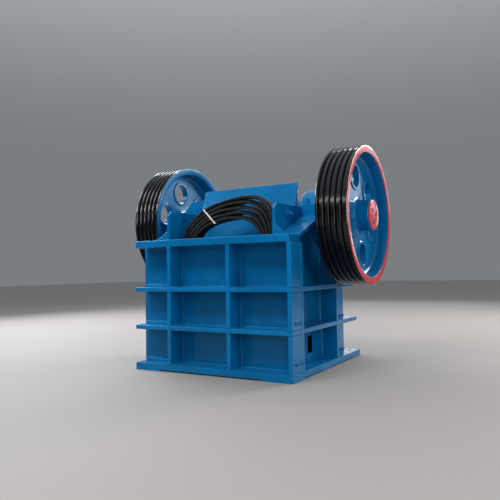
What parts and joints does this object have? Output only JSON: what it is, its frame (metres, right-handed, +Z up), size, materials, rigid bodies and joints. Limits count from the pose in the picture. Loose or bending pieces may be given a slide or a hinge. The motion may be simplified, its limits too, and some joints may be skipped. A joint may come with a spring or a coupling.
{
  "type": "jaw crusher",
  "caption": "Single-toggle jaw crusher with a welded ribbed frame, wide feed mouth, swing jaw on an eccentric shaft and grooved flywheels.",
  "frame": {"origin": "on the floor at the middle of the rectangle of foundation bolt holes in the base flange", "axes": "+Z up, -Y towards the feed side's ribbed front wall, +X along the shaft towards the flywheel with the red face"},
  "size_m": [2.05, 1.45, 1.776],
  "materials": {
    "blue": "glossy machine paint over welded steel plate",
    "black": "glossy black paint on the turned rim",
    "red": "glossy red paint",
    "jaw_steel": "cast wear steel, dark and slightly scaled",
    "machined": "turned and ground steel",
    "dark_steel": "dark oiled steel",
    "rubber": "black belt rubber with a woven back",
    "tie": "white woven strap"
  },
  "bodies": {
    "frame": {"front_wall": "blue", "left_side_wall": "blue", "right_side_wall": "blue", "rear_wall": "blue", "base_flange": "blue", "lower_band": "blue", "upper_band": "blue", "top_flange": "blue", "front_ribs": "blue", "left_side_rib": "blue", "right_side_rib": "blue", "rear_ribs": "blue", "left_slope_flange": "blue", "right_slope_flange": "blue", "left_cheek": "blue", "right_cheek": "blue", "left_bearing_housing": "blue", "right_bearing_housing": "blue", "left_bearing_cap": "blue", "right_bearing_cap": "blue", "left_bearing_covers": "blue", "right_bearing_covers": "blue", "fixed_jaw_plate": "jaw_steel", "jaw_clamp_bar": "blue", "left_liner": "jaw_steel", "right_liner": "jaw_steel", "toggle_plate": "dark_steel", "toggle_block": "dark_steel", "shims": "machined", "belt_bundle": "rubber", "belt_tie": "tie"},
    "shaft": {"eccentric_shaft": "machined", "left_wheel_rim": "black", "right_wheel_rim": "black", "left_wheel_web": "blue", "right_wheel_web": "blue", "left_hub_cap": "red", "right_hub_cap": "red"},
    "swing_jaw": {"pitman_head": "blue", "pitman": "blue", "rod_lugs": "blue", "toggle_seat": "dark_steel", "moving_jaw_plate": "jaw_steel", "guard_plate": "blue", "jaw_wedge": "dark_steel", "tension_rods": "machined", "tension_springs": "dark_steel", "spring_plates": "dark_steel"}
  },
  "joints": [
    {"name": "shaft_spin", "type": "hinge", "parent": "frame", "child": "shaft", "pos_m": [0, 0.184, 1.216], "axis": [1, 0, 0], "continuous": true},
    {"name": "jaw_orbit", "type": "hinge", "parent": "shaft", "child": "swing_jaw", "pos_m": [0, 0.184, 1.206], "axis": [1, 0, 0], "continuous": true}
  ],
  "couplings": [
    {"joint": "jaw_orbit", "follows": "shaft_spin", "ratio": -1}
  ]
}
